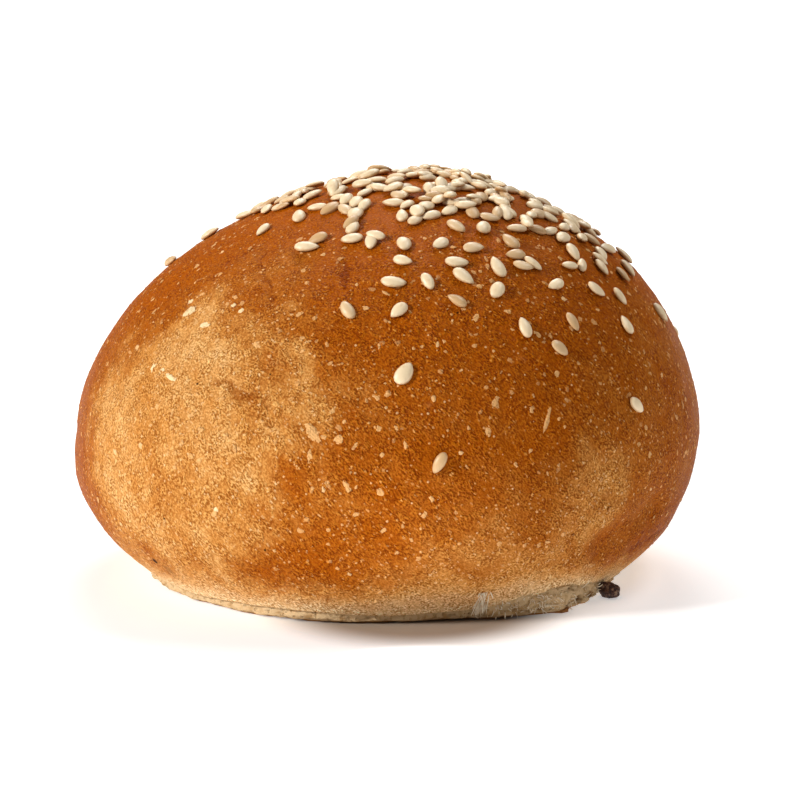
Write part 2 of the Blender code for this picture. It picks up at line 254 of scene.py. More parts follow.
def crust_point(way):
    """A point of the crust, with its soft swells, creases and dents."""
    point = plain_point(way)
    depth = -SWELL_DEPTH * noise.noise(point / SWELL_LENGTH)
    for start, end, half_width, deep in CREASE_LINES:
        depth += deep * math.exp(-((distance_to_stretch(point, start, end) / half_width) ** 2))
    return point - depth * way


def crust_frame(way):
    """The crust's point this way, its normal, and a level direction along it."""
    level = Vector((0, 0, 1)).cross(way).normalized() if way.xy.length > 1e-6 else Vector((0, 1, 0))
    rising = way.cross(level)
    steps = (level, -level, rising, -rising)
    beside = [crust_point((way + NORMAL_STEP * step).normalized()) for step in steps]
    normal = (beside[0] - beside[1]).cross(beside[2] - beside[3]).normalized()
    return crust_point(way), normal, level


def round_the_foot(azimuth, length, row=0):
    """A value from -1 to 1 that changes smoothly over this length round the foot."""
    place = FOOT_RADIUS / length * Vector((math.cos(azimuth), math.sin(azimuth), 0))
    return noise.noise(place + Vector((0, 0, ROW_SHIFT * row)))


def tornness(azimuth):
    """From 0 to 1, how badly the rim is torn at this azimuth."""
    apart = math.remainder(azimuth - TORN_AZIMUTH, 2 * math.pi)
    return math.exp(-((apart / TORN_SPREAD) ** 2))


def edge_height(azimuth):
    """Height of the crust's lower edge over the table."""
    return RIM_HEIGHT + RIM_RISE * round_the_foot(azimuth, RISE_LENGTH) + TORN_HEIGHT * tornness(azimuth)


def edge_polar(azimuth):
    """Polar angle at which the crust comes down to its lower edge."""
    low, high = math.pi / 2, LOWEST_POLAR
    while high - low > EDGE_PRECISION:
        middle = (low + high) / 2
        above = plain_point(direction(azimuth, middle)).z > edge_height(azimuth)
        low, high = (middle, high) if above else (low, middle)
    return low


@lru_cache(maxsize=None)
def edge_at_step(step):
    """The crust's lower edge at one of the steps round the foot: polar angle, reach, height, normal."""
    azimuth = 2 * math.pi * step / EDGE_STEPS
    polar = edge_polar(azimuth)
    point, normal, _ = crust_frame(direction(azimuth, polar))
    outward = Vector((math.cos(azimuth), math.sin(azimuth), 0))
    return np.array((polar, point.xy.length, point.z, normal.dot(outward), normal.z))


def edge_round(azimuth):
    """The same values anywhere round the foot."""
    steps = (azimuth % (2 * math.pi)) / (2 * math.pi) * EDGE_STEPS
    first = int(steps)
    share = steps - first
    mixed = (1 - share) * edge_at_step(first % EDGE_STEPS) + share * edge_at_step((first + 1) % EDGE_STEPS)
    return mixed.tolist()


def rim_reach(azimuth, row):
    """How far out the torn rim lies, just under the crust's edge in row 0 and at the table in row 2."""
    torn = tornness(azimuth)
    ragged = (RIM_RAGGED + TORN_RAGGED * torn) * round_the_foot(azimuth, RAGGED_LENGTH, row + 1)
    return edge_round(azimuth)[1] - RIM_RECESS + TORN_BULGE * torn + ragged


# Where the seeds lie, as the solid has them

def way_over(place):
    """The direction from the heart to the crust's point over this place in plan."""
    way = Vector((*place, CROWN_RISE)).normalized()
    for _ in range(PLACING_ROUNDS):
        point = crust_point(way)
        missed = Vector(place) - point.xy
        way = (point - HEART + Vector((*missed, 0))).normalized()
    return way


def sprinkled(draw, taken):
    """Places in plan over the crown, clear of those taken: close in the patch, thinner over its fringe."""
    places = []
    while len(places) < PATCH_SEEDS:
        bearing, share = draw.uniform(0, 2 * math.pi), math.sqrt(draw.random())
        reach = share * (PATCH_REACH + PATCH_FRINGE)
        place = Vector(PATCH_MIDDLE) + reach * Vector((math.cos(bearing), math.sin(bearing)))
        beyond = max(0.0, (reach - PATCH_REACH) / PATCH_FRINGE)
        gap = LEAST_GAP + (FRINGE_GAP - LEAST_GAP) * beyond
        clear = all((place - other).length > gap for other in taken + places)
        if draw.random() < (1 - beyond) ** 2 and clear:
            places.append(place)
    return places


def strayed(draw):
    """A way to somewhere behind the patch, more often close to it."""
    return direction(draw.uniform(0, math.pi), STRAY_FROM + STRAY_SPAN * draw.random() ** 2)


def seat(way, turn, lift, tilt, size):
    """The matrix that lays a seed on the crust."""
    point, normal, level = crust_frame(way)
    axes = Matrix((level, normal.cross(level), normal)).transposed().to_4x4()
    lying = Euler((*tilt, turn)).to_matrix().to_4x4()
    return Matrix.Translation(point + normal * lift) @ axes @ lying @ Matrix.Scale(size, 4)


def seeds_on_crust():
    """Where every seed lies: the lone ones, the patch and the strays. A seed laid over another is lifted."""
    draw = random.Random(SPRINKLE_DRAW)
    lone = [(aimed(*place), math.radians(turn)) for *place, turn in LONE_SEEDS]
    taken = [crust_point(way).xy for way, _ in lone]
    patch = [(way_over(place), draw.uniform(0, 2 * math.pi)) for place in sprinkled(draw, taken)]
    strays = [(strayed(draw), draw.uniform(0, 2 * math.pi)) for _ in range(STRAY_SEEDS)]
    laid, seats = [], []
    for way, turn in lone + patch + strays:
        point = crust_point(way)
        stacked = any((point - other).length < STACK_REACH for other in laid)
        lift, lean = (STACK_LIFT, STACK_TILT) if stacked else (SEED_PROUD, SEED_TILT)
        tilt = (draw.uniform(-lean, lean), draw.uniform(-lean, lean))
        size = 1 + draw.uniform(-SEED_SIZE_SPREAD, SEED_SIZE_SPREAD)
        seats.append(seat(way, turn, lift, tilt, size))
        laid.append(point)
    return seats


# Finishes

class Value:
    """A socket of a finish. Arithmetic on it adds Math nodes."""

    def __init__(self, finish, socket):
        self.finish, self.socket = finish, socket

    def math(self, operation, *others):
        return self.finish.add("ShaderNodeMath", {"operation": operation}, self, *others)

    def __add__(self, other):
        return self.math("ADD", other)

    def __sub__(self, other):
        return self.math("SUBTRACT", other)

    def __mul__(self, other):
        return self.math("MULTIPLY", other)

    def __truediv__(self, other):
        return self.math("DIVIDE", other)

    def __rsub__(self, other):
        return self.finish.add("ShaderNodeMath", {"operation": "SUBTRACT"}, other, self)

    __radd__ = __add__
    __rmul__ = __mul__

    def ramp_up(self, low, high):
        """0 below low, 1 above high and smooth between them. The other way round if low is the higher."""
        settings = {"interpolation_type": "SMOOTHSTEP"}
        if low < high:
            return self.finish.add("ShaderNodeMapRange", settings, self, low, high, 0.0, 1.0)
        return self.finish.add("ShaderNodeMapRange", settings, self, high, low, 1.0, 0.0)


class Finish:
    """A material with one Principled shader, whose nodes are added one by one. Its places are in millimetres."""

    def __init__(self, name):
        self.material = bpy.data.materials.new(name)
        self.material.use_nodes = True
        self.tree = self.material.node_tree
        self.shader = self.tree.nodes["Principled BSDF"]
        metres = self.add("ShaderNodeTexCoord", {}, output="Object")
        self.place = self.add("ShaderNodeVectorMath", {"operation": "SCALE"}, metres, Scale=1 / MM)

    def add(self, kind, settings, *values, output=0, **named):
        """A node of this kind: its settings first, then values or links for its sockets in order or by name."""
        node = self.tree.nodes.new(kind)
        for setting, chosen in settings.items():
            if setting == "stops":
                set_stops(node.color_ramp, chosen)
            else:
                setattr(node, setting, chosen)
        sockets = [socket for socket in node.inputs if socket.enabled]
        pairs = list(zip(sockets, values)) + [(node.inputs[name], value) for name, value in named.items()]
        for socket, value in pairs:
            self.join(socket, value)
        shown = {socket.name: socket for socket in node.outputs if socket.enabled}
        return Value(self, shown[output] if output in shown else list(shown.values())[output])

    def join(self, socket, value):
        if isinstance(value, Value):
            self.tree.links.new(value.socket, socket)
        elif socket.type == "RGBA":
            socket.default_value = (*value, 1)
        else:
            socket.default_value = value

    def set(self, **sockets):
        for name, value in sockets.items():
            self.join(self.shader.inputs[name.replace("_", " ")], value)

    def attribute(self, name):
        return self.add("ShaderNodeAttribute", {"attribute_name": name}, output="Fac")

    def axis(self, name):
        return self.add("ShaderNodeSeparateXYZ", {}, self.place, output=name)

    def away(self, point):
        """Distance from a point."""
        return self.add("ShaderNodeVectorMath", {"operation": "DISTANCE"}, self.place, point, output="Value")

    def stretched(self, turn, scale):
        """Places turned and then scaled, for a pattern that runs one way."""
        return self.add("ShaderNodeMapping", {"vector_type": "TEXTURE"}, self.place, (0, 0, 0), turn, scale)

    def noise(self, size, detail=2.0, roughness=0.5, place=None, output="Fac"):
        """Noise about a half, with features of this size."""
        inputs = {"Scale": 1 / size, "Detail": detail, "Roughness": roughness}
        return self.add("ShaderNodeTexNoise", {}, Vector=place or self.place, output=output, **inputs)

    def wavered(self, place, size, reach):
        """Places shifted about, so that a pattern's outlines turn uneven."""
        shift = self.noise(size, 1.0, 0.5, place, "Color")
        return self.add("ShaderNodeVectorMath", {"operation": "MULTIPLY_ADD"}, shift, (reach,) * 3, place)

    def dots(self, spacing, radius, share, soft=0.5, place=None):
        """Round spots, from 0 to 1, in this share of the cells of a random pattern."""
        settings, inputs = {"feature": "F1"}, {"Scale": 1 / spacing}
        near = self.add("ShaderNodeTexVoronoi", settings, Vector=place or self.place, **inputs)
        tint = self.add("ShaderNodeTexVoronoi", settings, Vector=place or self.place, output="Color", **inputs)
        pick = self.add("ShaderNodeSeparateColor", {}, tint, output="Red")
        size = self.add("ShaderNodeSeparateColor", {}, tint, output="Green")
        reach = near / (0.6 + 0.8 * size) * spacing
        return reach.ramp_up(radius, radius * soft) * pick.ramp_up(share, share - 0.02)

    def blend(self, share, first, second):
        settings = {"data_type": "RGBA", "blend_type": "MIX"}
        return self.add("ShaderNodeMix", settings, share, first, second)

    def shaded(self, colour, factor):
        """The colour multiplied by a number or a value."""
        grey = self.add("ShaderNodeCombineColor", {}, factor, factor, factor)
        return self.add("ShaderNodeMix", {"data_type": "RGBA", "blend_type": "MULTIPLY"}, 1.0, colour, grey)

    def tinted(self, colour, tint):
        return self.add("ShaderNodeMix", {"data_type": "RGBA", "blend_type": "MULTIPLY"}, 1.0, colour, tint)

    def bump(self, height):
        """Relief of this height, in millimetres."""
        self.set(Normal=self.add("ShaderNodeBump", {}, Strength=1.0, Distance=MM, Height=height))


def set_stops(ramp, stops):
    for number, (position, colour) in enumerate(stops):
        stop = ramp.elements[number] if number < len(ramp.elements) else ramp.elements.new(position)
        stop.position, stop.color = position, (*colour, 1)


BAKED = (
    (0.00, (0.76, 0.42, 0.170)), (0.15, (0.69, 0.34, 0.105)), (0.35, (0.58, 0.235, 0.050)),
    (0.60, (0.42, 0.118, 0.011)), (0.80, (0.37, 0.084, 0.003)), (1.00, (0.38, 0.080, 0.001)),
)
PALE_SIDE, PALE_FAR, PALE_NEAR = (-30, -34, 27), 28, 13
PALE_SHOULDER, PALE_FOOT, PALE_FLANK = (-20, -26, 43), (10, -38, 7), (33, -27, 20)
GRAIN_TURN, GRAIN_SCALE = (0, math.radians(45), 0), (1.6, 1.0, 1.0)
PALE_SKIN, FLOUR = (0.86, 0.48, 0.19), (0.92, 0.68, 0.38)
PALE_DOT, DARK_PORE = (0.98, 0.62, 0.30), (0.05, 0.015, 0.004)
# Colours of the painted glints on the crust's grain, for pale and for deep crust
PAINTED_GLINT_PALE, PAINTED_GLINT_DEEP = (1.0, 0.66, 0.32), (0.85, 0.34, 0.05)
# These tints darken the grain's gaps and lighten its flecks, partly as painted shade and painted highlight, and darken
# the furrows with painted shade and random patches
GAP_AND_SHADE_TINT, FLECK_AND_HIGHLIGHT_TINT, SHADE_AND_MOTTLE_TINT = (0.56, 0.41, 0.24), (1.4, 1.75, 2.3), (0.58, 0.40, 0.22)
EDGE_SKIN, SMEAR_BROWN = (0.90, 0.62, 0.32), (0.22, 0.08, 0.02)


def baked_crust():
    finish = Finish("baked_crust")
    height = finish.axis("Z")
    patches, mottling = finish.noise(15.0, 2.0), finish.noise(3.5, 3.0)
    streaks = finish.noise(4.0, 3.0, 0.6, finish.stretched(GRAIN_TURN, (2.2, 1.0, 1.0)))
    pale_side = (finish.away(PALE_SIDE) + 16 * (patches - 0.5) + 8 * (streaks - 0.5)).ramp_up(PALE_FAR, PALE_NEAR)
    bake = 0.76 * height.ramp_up(0.5, 9) + 0.16 * height.ramp_up(28, 48)
    bake = bake - 0.46 * pale_side - 0.30 * finish.attribute("stretched")
    bake = bake - 0.22 * finish.away(PALE_SHOULDER).ramp_up(15, 4)
    bake = bake - 0.40 * finish.away(PALE_FOOT).ramp_up(17, 4) - 0.10 * finish.away(PALE_FLANK).ramp_up(16, 5)
    bake = bake + 0.6 * (patches - 0.5) + 0.5 * (streaks - 0.5) + 0.35 * (mottling - 0.5)
    colour = finish.add("ShaderNodeValToRGB", {"stops": BAKED}, bake)
    edge = (finish.attribute("edge") + 0.8 * (mottling - 0.5)).ramp_up(0.1, 0.95)
    colour = finish.blend(edge * 0.95, colour, EDGE_SKIN)
    # Painted shade darkens the furrows; the same tint also darkens random patches of the crust
    furrow_shade_and_mottle = finish.attribute("furrow") + 1.6 * (finish.noise(1.0, 3.0, 0.65) - 0.5)
    colour = finish.blend(furrow_shade_and_mottle.ramp_up(0.35, 0.9) * 0.8, colour, finish.tinted(colour, SHADE_AND_MOTTLE_TINT))
    along = finish.stretched(GRAIN_TURN, GRAIN_SCALE)
    grain = finish.noise(0.255, 1.5, 0.6, along)
    # Painted glints: bright dots in the crust's colour that stand for the sparkle of light on its grain
    painted_glints = finish.dots(0.5, 0.17, 0.45, 0.3, finish.wavered(along, 0.3, 0.5))
    smoother = (height.ramp_up(56, 44) * 0.3 + 0.7) * (finish.noise(1.6, 2.0).ramp_up(0.38, 0.60) * 0.5 + 0.5)
    # The grain's light flecks and dark gaps are partly the crust's own speckle and partly painted highlight on the
    # grain's raised tops and painted shade in its hollows
    fleck_and_highlight, gap = grain.ramp_up(0.53, 0.63), grain.ramp_up(0.51, 0.40)
    colour = finish.blend(gap * smoother * 0.95, colour, finish.tinted(colour, GAP_AND_SHADE_TINT))
    colour = finish.blend(fleck_and_highlight * smoother * 0.95, colour, finish.tinted(colour, FLECK_AND_HIGHLIGHT_TINT))
    colour = finish.blend(painted_glints * smoother * 0.8, colour,
                          finish.blend(bake.ramp_up(0.35, 0.95), PAINTED_GLINT_PALE, PAINTED_GLINT_DEEP))
    sparks, pores = finish.dots(1.1, 0.17, 0.30), finish.dots(4.5, 0.16, 0.5)
    flake = (finish.attribute("flake") + 2.6 * (finish.noise(0.5, 3.0, 0.6) - 0.5)).ramp_up(0.25, 0.6)
    pale = finish.attribute("skin")
    flaky = finish.blend(pale.ramp_up(0.86, 0.95), PALE_SKIN, FLOUR)
    colour = finish.blend(sparks * 0.7, colour, PALE_DOT)
    colour = finish.blend(flake * pale * (0.7 + 0.6 * grain), colour, flaky)
    colour = finish.blend(pores * 0.9, colour, DARK_PORE)
    speck, smear = (finish.away(tuple(crust_point(aimed(*place)) / MM)) for place in (BURNT_SPECK, BURNT_SMEAR))
    ragged = 0.7 * (finish.noise(0.5, 2.0) - 0.5)
    colour = finish.blend((smear + ragged).ramp_up(1.1, 0.3) * 0.5, colour, SMEAR_BROWN)
    colour = finish.blend((speck + ragged).ramp_up(0.62, 0.36), colour, DARK_PORE)
    finish.set(Base_Color=colour, Roughness=0.50 - 0.12 * bake + 0.1 * grain)
    finish.join(finish.shader.inputs["Specular IOR Level"], 0.02)
    finish.bump((0.4 * grain + 0.04 * painted_glints) * smoother + 0.06 * sparks - 0.15 * pores)
    return finish.material


# Seed colours; the tan and the dark tip colour also serve as painted shade and warm bounce on each seed's lower side
IVORY, SEED_TAN_AND_SHADE, SEED_TIP_AND_SHADE = (0.88, 0.69, 0.44), (0.58, 0.33, 0.13), (0.36, 0.17, 0.05)


def sesame():
    finish = Finish("sesame_seeds")
    cloud = finish.noise(0.8, 2.0)
    colour = finish.blend(finish.attribute("tone").ramp_up(0.55, 1.0) * 0.85, IVORY, SEED_TAN_AND_SHADE)
    colour = finish.blend(cloud.ramp_up(0.5, 0.8) * 0.3, colour, SEED_TAN_AND_SHADE)
    # Painted shade and warm bounce: each seed turns tan, then dark brown, towards its underside
    rim = finish.attribute("low") + 0.25 * (cloud - 0.5)
    colour = finish.blend(rim.ramp_up(0.24, 0.52) * 0.85, colour, SEED_TAN_AND_SHADE)
    colour = finish.blend(rim.ramp_up(0.48, 0.7) * 0.7, colour, SEED_TIP_AND_SHADE)
    colour = finish.blend(finish.attribute("tip").ramp_up(0.36, 0.5) * 0.6, colour, SEED_TIP_AND_SHADE)
    colour = finish.blend(finish.dots(2.4, 0.16, 0.22) * 0.8, colour, DARK_PORE)
    finish.set(Base_Color=colour, Roughness=0.34 + 0.15 * cloud)
    finish.join(finish.shader.inputs["Specular IOR Level"], 0.5)
    finish.bump(0.02 * finish.noise(0.25, 2.0))
    return finish.material


CRUMB_CREAM, CRUMB_SHADE, CRUMB_BROWN = (0.66, 0.47, 0.26), (0.46, 0.27, 0.11), (0.20, 0.09, 0.025)
FIBRE_WHITE, FIBRE_CREAM = (0.95, 0.86, 0.68), (0.70, 0.54, 0.34)


def torn_crumb():
    finish = Finish("torn_crumb")
    clumps, fine = finish.noise(1.2, 3.0), finish.noise(0.3, 2.0)
    holes = finish.dots(0.5, 0.20, 0.7)
    colour = finish.blend(clumps.ramp_up(0.45, 0.75), CRUMB_CREAM, CRUMB_SHADE)
    # Painted shade: the holes darken, and so do the places where the crumb is let in; the crumb also darkens towards
    # its bottom
    colour = finish.blend(holes * 0.5, colour, CRUMB_SHADE)
    colour = finish.blend(finish.attribute("deep").ramp_up(0.25, 1.0) * 0.8, colour, CRUMB_BROWN)
    low = finish.axis("Z") + 0.8 * (clumps - 0.5)
    colour = finish.blend(low.ramp_up(0.35, 0.05) * 0.6, colour, CRUMB_BROWN)
    finish.set(Base_Color=colour, Roughness=0.9)
    finish.join(finish.shader.inputs["Specular IOR Level"], 0.1)
    finish.bump(0.15 * fine - 0.15 * holes)
    return finish.material


def torn_fibre():
    finish = Finish("torn_fibre")
    finish.set(Base_Color=finish.blend(finish.noise(1.5, 2.0).ramp_up(0.4, 0.7), FIBRE_WHITE, FIBRE_CREAM), Roughness=0.8)
    finish.join(finish.shader.inputs["Specular IOR Level"], 0.2)
    return finish.material


SOLE_STOPS = ((0.30, (0.30, 0.12, 0.03)), (0.55, (0.42, 0.19, 0.055)), (0.75, (0.56, 0.33, 0.14)))


def baked_sole():
    finish = Finish("baked_sole")
    colour = finish.add("ShaderNodeValToRGB", {"stops": SOLE_STOPS}, finish.noise(7.0, 5.0, 0.6))
    dust, pores = finish.noise(0.5, 3.0), finish.dots(1.6, 0.3, 0.6)
    colour = finish.shaded(colour, 0.75 + 0.5 * dust)
    colour = finish.blend(pores * 0.7, colour, (0.20, 0.08, 0.025))
    finish.set(Base_Color=colour, Roughness=0.8)
    finish.join(finish.shader.inputs["Specular IOR Level"], 0.2)
    finish.bump(0.12 * dust - 0.2 * pores)
    return finish.material


def scorched():
    finish = Finish("scorched_crumb")
    ash = finish.noise(0.5, 4.0, 0.65)
    stops = ((0.38, (0.02, 0.009, 0.007)), (0.52, (0.09, 0.042, 0.032)), (0.66, (0.36, 0.24, 0.16)))
    finish.set(Base_Color=finish.add("ShaderNodeValToRGB", {"stops": stops}, ash), Roughness=0.6 + 0.3 * ash)
    finish.bump(0.3 * ash)
    return finish.material


def white_floor():
    finish = Finish("white_floor")
    fibre = finish.noise(3.0, 3.0)
    # Painted shadow in front of the foot, and a glowing patch further in front that lights the bun like a lamp
    clear = finish.away(CONTACT_MIDDLE).ramp_up(*CONTACT_REACH)
    colour = finish.blend(clear, CONTACT_SHADE, FLOOR_WHITE)
    finish.set(Base_Color=finish.shaded(colour, 0.98 + 0.04 * fibre), Roughness=0.9)
    glow = clear * FLOOR_GLOW + finish.away(FRONT_MIDDLE).ramp_up(*FRONT_REACH) * FRONT_GLOW
    finish.set(Emission_Color=finish.add("ShaderNodeCombineColor", {}, glow, glow, glow), Emission_Strength=1.0)
    return finish.material


# Making pieces and hanging them on the bun's body

def finished(piece, name, material):
    """Names a piece, gives it its finish, hangs it on the bun's body to ride with it, and hides the solid that it
    stands for.
    """
    piece.name = piece.data.name = name
    piece.data.materials.clear()
    piece.data.materials.append(material)
    piece.data.shade_smooth()
    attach(piece, "root")
    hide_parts("bun")
    return piece


def added(add_primitive, **sizes):
    """A primitive with nothing else selected."""
    bpy.ops.object.select_all(action="DESELECT")
    add_primitive(**sizes)
    return bpy.context.object


def squared_ball(squares):
    """A ball of radius 1 with even squares, from a cube with this many along each side."""
    ball = added(bpy.ops.mesh.primitive_cube_add, size=2)
    bpy.ops.object.mode_set(mode="EDIT")
    bpy.ops.mesh.subdivide(number_cuts=squares - 1)
    bpy.ops.object.mode_set(mode="OBJECT")
    for vertex in ball.data.vertices:
        vertex.co = Vector([math.tan(math.pi / 4 * part) for part in vertex.co]).normalized()
    return ball


def place_all(piece, place):
    """Moves every vertex of a piece to where the function puts it."""
    for vertex in piece.data.vertices:
        vertex.co = place(vertex.co.copy())


def paint(piece, name, values):
    piece.data.attributes.new(name, "FLOAT", "POINT").data.foreach_set("value", values)


def relief(point):
    """Height of the crust's finer relief at a point."""
    rise = sum(height * noise.noise(point / size) for size, height in RELIEF)
    return rise + STRAND_RISE * strand(point) - FURROW_DEPTH * furrow(point)


FURROW_LINES = [(*(plain_point(aimed(*place)) for place in ends), half_width) for *ends, half_width in FURROWS]


def furrow(point):
    """From 0 to 1, how far a point lies in a furrow, which wavers."""
    point = point + FURROW_WAVER * noise.noise_vector(point / WAVER_LENGTH)
    return max(math.exp(-((distance_to_stretch(point, start, end) / half_width) ** 2))
               for start, end, half_width in FURROW_LINES)


STRAND_ENDS = [plain_point(aimed(*place)) for place in STRANDS]
STRAND_ALONG = (STRAND_ENDS[1] - STRAND_ENDS[0]).normalized()


def stretch_reach(point):
    return distance_to_stretch(point, *STRAND_ENDS) / STRANDS_REACH


def strand(point):
    """From -1 to 1, the ridges of stretched skin, which fade out away from their line."""
    away = stretch_reach(point)
    if away > 2:
        return 0.0
    along = (point - STRAND_ENDS[0]).dot(STRAND_ALONG)
    across = point - STRAND_ALONG * along
    return noise.noise(across / STRAND_GAP + STRAND_ALONG * along / STRAND_RUN) * math.exp(-(away**2))


def crust_place(way):
    """Where a point of the ball goes: down the crust, round its lip, and in under it."""
    azimuth, share = math.atan2(way.y, way.x), math.acos(max(-1.0, min(1.0, way.z))) / math.pi
    polar, reach, height, out, up = edge_round(azimuth)
    if share <= CRUST_SHARE:
        way = direction(azimuth, polar * share / CRUST_SHARE)
        point = crust_point(way)
        return point + relief(point) * way
    outward = Vector((math.cos(azimuth), math.sin(azimuth), 0))
    normal = Vector((out * outward.x, out * outward.y, up))
    down = Vector((up * outward.x, up * outward.y, -out))
    turn = LIP_TURN * min(1.0, (share - CRUST_SHARE) / (LIP_SHARE - CRUST_SHARE))
    edge = reach * outward + Vector((0, 0, height))
    lip = edge + LIP_RADIUS * ((math.cos(turn) - 1) * normal + math.sin(turn) * down)
    lip += relief(edge) * normal
    inward = max(0.0, (share - LIP_SHARE) / (1 - LIP_SHARE))
    return Vector((lip.x * (1 - inward), lip.y * (1 - inward), lip.z))


def edge_cover(point):
    """From 0 to 1, how far a point has the pale skin of the crust's lower edge."""
    azimuth = math.atan2(point.y, point.x)
    fade = EDGE_FADE + (TORN_FADE - EDGE_FADE) * tornness(azimuth)
    return math.exp(-max(0.0, point.z - edge_round(azimuth)[2]) / fade)


def bake_crust(skin):
    crust = squared_ball(CRUST_SQUARES)
    place_all(crust, crust_place)
    paint(crust, "stretched", [math.exp(-(stretch_reach(vertex.co) ** 2)) for vertex in crust.data.vertices])
    paint(crust, "edge", [edge_cover(vertex.co) for vertex in crust.data.vertices])
    paint(crust, "furrow", [furrow(vertex.co) for vertex in crust.data.vertices])
    return finished(crust, "crust", skin)


def blisters():
    """Every flake and blister: its way, turn, half length, half width, rise and paleness."""
    draw = random.Random(BLISTER_DRAW)
    listed = [(aimed(azimuth, polar), math.radians(turn), *sizes, 1.0 if azimuth < FLOURED_SIDE else 0.8)
              for azimuth, polar, turn, *sizes in FLAKES]
    highest, lowest = (math.cos(polar) for polar in BLISTER_POLAR)
    for _ in range(SMALL_BLISTERS):
        way = direction(draw.uniform(-math.pi, math.pi), math.acos(draw.uniform(lowest, highest)))
        length = BLISTER_LEAST + BLISTER_MORE * draw.random() ** 3
        listed.append((way, draw.uniform(0, math.pi), length, length * draw.uniform(0.55, 0.95),
                       draw.uniform(*BLISTER_RISE), draw.uniform(*BLISTER_PALENESS)))
    return [(way, turn, length * MM / 2, width * MM / 2, rise * MM, pale)
            for way, turn, length, width, rise, pale in listed]


def raise_blisters(skin):
    """The flakes and blisters, each an uneven lens half sunk in the crust."""
    model = added(bpy.ops.mesh.primitive_uv_sphere_add, segments=BLISTER_SIDES, ring_count=BLISTER_RINGS, radius=1)
    corners = [vertex.co.copy() for vertex in model.data.vertices]
    places, paleness = [], []
    for number, (way, turn, half_length, half_width, rise, pale) in enumerate(blisters()):
        point, normal, level = crust_frame(way)
        along = math.cos(turn) * level + math.sin(turn) * normal.cross(level)
        across = normal.cross(along)
        middle = point + relief(point) * way - BLISTER_SUNK * rise * normal
        for x, y, z in corners:
            uneven = 1 + BLISTER_UNEVEN * noise.noise(Vector((1.6 * x, 1.6 * y, ROW_SHIFT * number)))
            flat = uneven * (x * half_length * along + y * half_width * across)
            places.append(middle + flat + z * rise * normal)
        paleness.append(pale)
    lenses = joined("blisters", np.array(places), repeated_faces(model.data, len(paleness)))
    paint(lenses, "skin", np.repeat(paleness, len(corners)))
    paint(lenses, "flake", np.tile([max(0.0, corner.z) for corner in corners], len(paleness)))
    bpy.data.objects.remove(model)
    return finished(lenses, "blisters", skin)


def fluff(point):
    """How far the torn crumb stands out at a point: soft lumps, with pores let in."""
    nearest = noise.voronoi(point / PORE_LENGTH)[0][0]
    pore = max(0.0, 1 - nearest / PORE_SIZE)
    return sum(height * noise.noise(point / size) for size, height in FLUFF) - PORE_DEPTH * pore**0.7


def hollow(azimuth, reach, height):
    """How deep the torn holes of the rim go in here."""
    depth = 0.0
    for hole_azimuth, hole_height, half_width, deep in HOLES:
        aside = math.hypot((azimuth - hole_azimuth) * reach, height - hole_height)
        depth = max(depth, deep * math.exp(-((aside / half_width) ** 4)))
    return depth


def tear_rim(crumb):
    """The ring of crumb under the crust's edge, from a ring whose section is squared up."""
    rim = added(bpy.ops.mesh.primitive_torus_add, major_segments=RIM_ROUND, minor_segments=RIM_ACROSS,
                major_radius=1.0, minor_radius=0.5)

    def place(co):
        azimuth, turn = math.atan2(co.y, co.x), math.atan2(co.z, co.xy.length - 1.0)
        top = edge_round(azimuth)[2] + RIM_TUCK
        out = math.copysign(abs(math.cos(turn)) ** RIM_SQUARENESS, math.cos(turn))
        up = math.copysign(abs(math.sin(turn)) ** RIM_SQUARENESS, math.sin(turn))
        bottom = RIM_CLEAR + RIM_UNEVEN * round_the_foot(azimuth, RAGGED_LENGTH / 2, 9)
        height = bottom + (top - bottom) * (1 + up) / 2
        row = 2 * (1 - height / top)
        reach = rim_reach(azimuth, 0) * (1 - row / 2) + rim_reach(azimuth, 2) * row / 2
        point = Vector((reach * math.cos(azimuth), reach * math.sin(azimuth), height))
        calm = CALM_SHARE + (1 - CALM_SHARE) * tornness(azimuth)
        let_in = (calm * fluff(point) - hollow(azimuth, reach, height)) * max(0.0, out)
        depths.append(-let_in / PORE_DEPTH)
        undercut = RIM_UNDERCUT * max(0.0, 1 - (height - bottom) / UNDERCUT_HEIGHT) ** 2
        reach += let_in - undercut * max(0.0, out) - RIM_DEPTH * (1 - out) / 2
        return Vector((reach * math.cos(azimuth), reach * math.sin(azimuth), height))

    depths = []
    place_all(rim, place)
    paint(rim, "deep", depths)
    return finished(rim, "torn_rim", crumb)


def bake_sole():
    """The thin baked sole, from a ball pressed flat."""
    sole = squared_ball(SOLE_SQUARES)

    def place(way):
        azimuth, polar = math.atan2(way.y, way.x), math.acos(max(-1.0, min(1.0, way.z)))
        ragged = (0.4 + tornness(azimuth)) * SOLE_RAGGED * round_the_foot(azimuth, SOLE_RAGGED_LENGTH, 7)
        tip = TIP_OUT * math.exp(-(((azimuth - SOLE_TIP) / TIP_SPREAD) ** 2))
        reach = rim_reach(azimuth, 2) + SOLE_OUT + ragged + tip
        from_middle = min(1.0, polar / SOLE_TOP, (math.pi - polar) / SOLE_TOP)
        over = min(1.0, max(0.0, (SOLE_BOTTOM - polar) / (SOLE_BOTTOM - SOLE_TOP)))
        point = Vector((math.cos(azimuth), math.sin(azimuth), 0)) * from_middle * reach
        pits = SOLE_RELIEF * abs(noise.noise(point / SOLE_RELIEF_LENGTH)) * (1 - over)
        return point + Vector((0, 0, SOLE_THICKNESS * over + pits))

    place_all(sole, place)
    return finished(sole, "sole", baked_sole())


